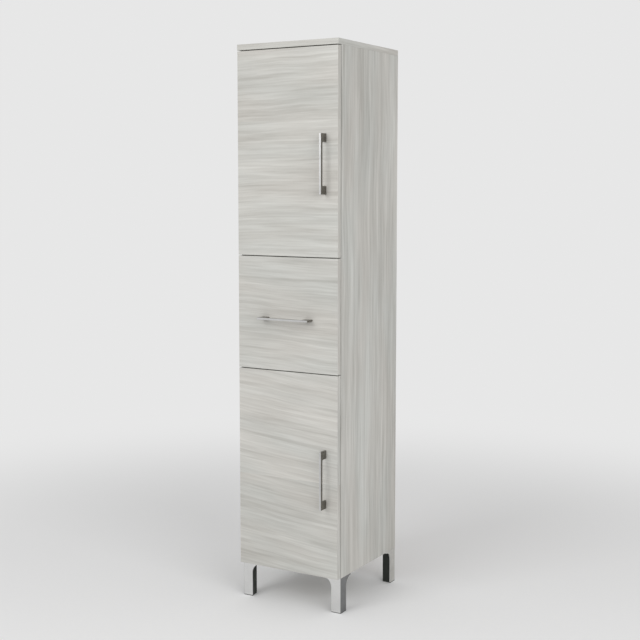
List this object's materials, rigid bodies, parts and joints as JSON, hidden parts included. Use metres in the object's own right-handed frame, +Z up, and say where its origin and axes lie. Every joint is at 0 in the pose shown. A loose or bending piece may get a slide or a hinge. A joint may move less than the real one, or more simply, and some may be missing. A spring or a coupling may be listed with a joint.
{
  "type": "tall cabinet",
  "caption": "Tall slim bathroom cabinet on chrome corner legs, in light grey wood-look board: a door at the top, a deep drawer in the middle and a door below.",
  "frame": {"origin": "on the floor, under the middle of the whole part, handles included", "axes": "+X to the right as seen from the front, +Y to the back, +Z up"},
  "size_m": [0.37, 0.434, 1.8],
  "materials": {
    "laminate_fronts": "satin melamine with a woodgrain print",
    "laminate_carcass": "satin melamine with a woodgrain print",
    "white_hardboard": "white lacquered",
    "drawer_board": "white foil",
    "bright_metal": "polished",
    "nickel_plate": "nickel plated",
    "zinc_plate": "zinc plated",
    "runner_enamel": "white enamel",
    "roller_plastic": "satin",
    "pad_plastic": "matt",
    "bumper_plastic": "satin",
    "beech": "raw"
  },
  "bodies": {
    "cabinet": {"side_left": "laminate_carcass", "side_right": "laminate_carcass", "lid": "laminate_carcass", "bottom_panel": "laminate_carcass", "divider_lower": "laminate_carcass", "divider_upper": "laminate_carcass", "back_panel": "white_hardboard", "lower_shelf": "laminate_carcass", "upper_shelf_low": "laminate_carcass", "upper_shelf_high": "laminate_carcass", "shelf_pins": "nickel_plate", "leg_front_left": "bright_metal", "leg_front_right": "bright_metal", "leg_rear_left": "bright_metal", "leg_rear_right": "bright_metal", "leg_pads": "pad_plastic", "leg_screws": "zinc_plate", "cam_locks": "zinc_plate", "cam_bolts": "zinc_plate", "dowels": "beech", "hinge_plates": "nickel_plate", "hinge_arms": "nickel_plate", "hinge_plate_screws": "zinc_plate", "runner_cabinet_left": "runner_enamel", "runner_cabinet_right": "runner_enamel", "runner_screws": "zinc_plate"},
    "upper_outer_links": {"upper_outer_links": "nickel_plate"},
    "upper_inner_links": {"upper_inner_links": "nickel_plate"},
    "lower_outer_links": {"lower_outer_links": "nickel_plate"},
    "lower_inner_links": {"lower_inner_links": "nickel_plate"},
    "upper_door": {"upper_door": "laminate_fronts", "upper_handle": "bright_metal", "upper_handle_screws": "zinc_plate", "upper_bumpers": "bumper_plastic", "upper_hinge_cups": "nickel_plate", "upper_cup_screws": "zinc_plate"},
    "lower_door": {"lower_door": "laminate_fronts", "lower_handle": "bright_metal", "lower_handle_screws": "zinc_plate", "lower_bumpers": "bumper_plastic", "lower_hinge_cups": "nickel_plate", "lower_cup_screws": "zinc_plate"},
    "drawer": {"drawer_front": "laminate_fronts", "drawer_handle": "bright_metal", "drawer_handle_screws": "zinc_plate", "drawer_bumpers": "bumper_plastic", "drawer_side_left": "drawer_board", "drawer_side_right": "drawer_board", "drawer_back": "drawer_board", "drawer_bottom": "white_hardboard", "drawer_cams": "zinc_plate", "drawer_cam_bolts": "zinc_plate", "drawer_screws": "zinc_plate", "runner_drawer_left": "runner_enamel", "runner_drawer_right": "runner_enamel"},
    "roller_cabinet_left": {"roller_cabinet_left": "roller_plastic"},
    "roller_cabinet_right": {"roller_cabinet_right": "roller_plastic"},
    "roller_drawer_left": {"roller_drawer_left": "roller_plastic"},
    "roller_drawer_right": {"roller_drawer_right": "roller_plastic"}
  },
  "joints": [
    {"name": "upper_outer_link_turn", "type": "hinge", "parent": "cabinet", "child": "upper_outer_links", "pos_m": [-0.154, -0.17, 1.4565], "axis": [0, 0, 1], "range_deg": [0, 24]},
    {"name": "upper_inner_link_turn", "type": "hinge", "parent": "cabinet", "child": "upper_inner_links", "pos_m": [-0.154, -0.164, 1.4565], "axis": [0, 0, 1], "range_deg": [0, 48]},
    {"name": "upper_door_swing", "type": "hinge", "parent": "upper_outer_links", "child": "upper_door", "pos_m": [-0.1757, -0.1718, 1.4565], "axis": [0, 0, -1], "range_deg": [0, 124]},
    {"name": "lower_outer_link_turn", "type": "hinge", "parent": "cabinet", "child": "lower_outer_links", "pos_m": [-0.154, -0.17, 0.441], "axis": [0, 0, 1], "range_deg": [0, 24]},
    {"name": "lower_inner_link_turn", "type": "hinge", "parent": "cabinet", "child": "lower_inner_links", "pos_m": [-0.154, -0.164, 0.441], "axis": [0, 0, 1], "range_deg": [0, 48]},
    {"name": "lower_door_swing", "type": "hinge", "parent": "lower_outer_links", "child": "lower_door", "pos_m": [-0.1757, -0.1718, 0.441], "axis": [0, 0, -1], "range_deg": [0, 124]},
    {"name": "drawer_slide", "type": "slide", "parent": "cabinet", "child": "drawer", "axis": [0, -1, 0], "range_m": [0, 0.27]},
    {"name": "cabinet_roller_left_turn", "type": "hinge", "parent": "cabinet", "child": "roller_cabinet_left", "pos_m": [-0.1629, -0.148, 0.8097], "axis": [1, 0, 0], "continuous": true},
    {"name": "drawer_roller_left_turn", "type": "hinge", "parent": "drawer", "child": "roller_drawer_left", "pos_m": [-0.1629, 0.162, 0.8065], "axis": [1, 0, 0], "continuous": true},
    {"name": "cabinet_roller_right_turn", "type": "hinge", "parent": "cabinet", "child": "roller_cabinet_right", "pos_m": [0.1629, -0.148, 0.8097], "axis": [1, 0, 0], "continuous": true},
    {"name": "drawer_roller_right_turn", "type": "hinge", "parent": "drawer", "child": "roller_drawer_right", "pos_m": [0.1629, 0.162, 0.8065], "axis": [1, 0, 0], "continuous": true}
  ],
  "couplings": [
    {"joint": "upper_outer_link_turn", "follows": "upper_door_swing", "ratio": 0.19355},
    {"joint": "upper_inner_link_turn", "follows": "upper_door_swing", "ratio": 0.3871},
    {"joint": "lower_outer_link_turn", "follows": "lower_door_swing", "ratio": 0.19355},
    {"joint": "lower_inner_link_turn", "follows": "lower_door_swing", "ratio": 0.3871}
  ]
}
